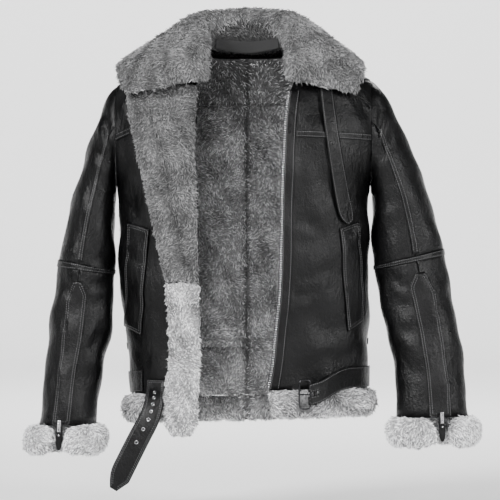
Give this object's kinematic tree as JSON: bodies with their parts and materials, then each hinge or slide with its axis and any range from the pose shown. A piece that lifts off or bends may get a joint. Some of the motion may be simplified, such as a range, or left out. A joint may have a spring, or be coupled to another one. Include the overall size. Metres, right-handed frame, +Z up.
{
  "type": "aviator jacket",
  "caption": "Black leather aviator jacket lined with grey pile, filled out and open in front, with waist strap and buckle.",
  "frame": {"origin": "middle of the body between the shoulders, level with the neck points, where the wearer holds the jacket up", "axes": "+X the wearer's left, +Y behind the wearer, +Z up; the front faces -Y"},
  "size_m": [0.8416, 0.2855, 0.893],
  "materials": {
    "leather": "satin, lightly creased",
    "pile": "matte curly pile",
    "metal": "polished"
  },
  "bodies": {
    "jacket": {"back_band_left": "leather", "back_band_right": "leather", "back_panel_left": "leather", "back_panel_right": "leather", "back_yoke": "leather", "buckle_frame": "metal", "centre_back_tape": "leather", "collar": "pile", "cuff_fur_left": "pile", "cuff_fur_right": "pile", "cuff_placket_left": "leather", "cuff_placket_right": "leather", "cuff_slider_left": "metal", "cuff_slider_right": "metal", "elbow_tape_left": "leather", "elbow_tape_right": "leather", "eyelet_1": "metal", "eyelet_2": "metal", "eyelet_3": "metal", "eyelet_4": "metal", "eyelet_5": "metal", "eyelet_6": "metal", "eyelet_7": "metal", "facing_right_lower": "pile", "facing_right_upper": "pile", "forearm_inner_left": "leather", "forearm_inner_right": "leather", "forearm_outer_left": "leather", "forearm_outer_right": "leather", "front_panel_left": "leather", "front_panel_right": "leather", "front_yoke_left": "leather", "front_yoke_right": "leather", "hanging_strap": "leather", "hem_fur_back": "pile", "hem_fur_left_front": "pile", "hem_fur_right_front": "pile", "lower_back_tape": "leather", "neck_patch": "leather", "pocket_welt_left": "leather", "pocket_welt_right": "leather", "seam_tape_back_left": "leather", "seam_tape_back_right": "leather", "seam_tape_front_left": "leather", "seam_tape_front_right": "leather", "sleeve_inner_left": "leather", "sleeve_inner_right": "leather", "sleeve_outer_left": "leather", "sleeve_outer_right": "leather", "throat_strap": "leather", "waist_strap_left": "leather", "waist_strap_right": "leather", "yoke_tape_back": "leather", "yoke_tape_left_front": "leather", "yoke_tape_right_front": "leather", "zip_strip_left": "leather", "zip_strip_right": "leather"},
    "pull_tab_left": {"pull_tab_left": "leather"},
    "pull_tab_right": {"pull_tab_right": "leather"},
    "buckle_prong": {"buckle_prong": "metal"}
  },
  "joints": [
    {"name": "pull_tab_left_swing", "type": "hinge", "parent": "jacket", "child": "pull_tab_left", "pos_m": [0.3541, -0.10296, -0.65388], "axis": [-0.9933, -0.1158, 0], "range_deg": [0, 120]},
    {"name": "pull_tab_right_swing", "type": "hinge", "parent": "jacket", "child": "pull_tab_right", "pos_m": [-0.34049, -0.1099, -0.66888], "axis": [-0.9869, 0.1614, 0], "range_deg": [0, 120]},
    {"name": "buckle_prong_turn", "type": "hinge", "parent": "jacket", "child": "buckle_prong", "pos_m": [0.11486, -0.13692, -0.615], "axis": [0, 0, 1], "range_deg": [0, 110]}
  ]
}
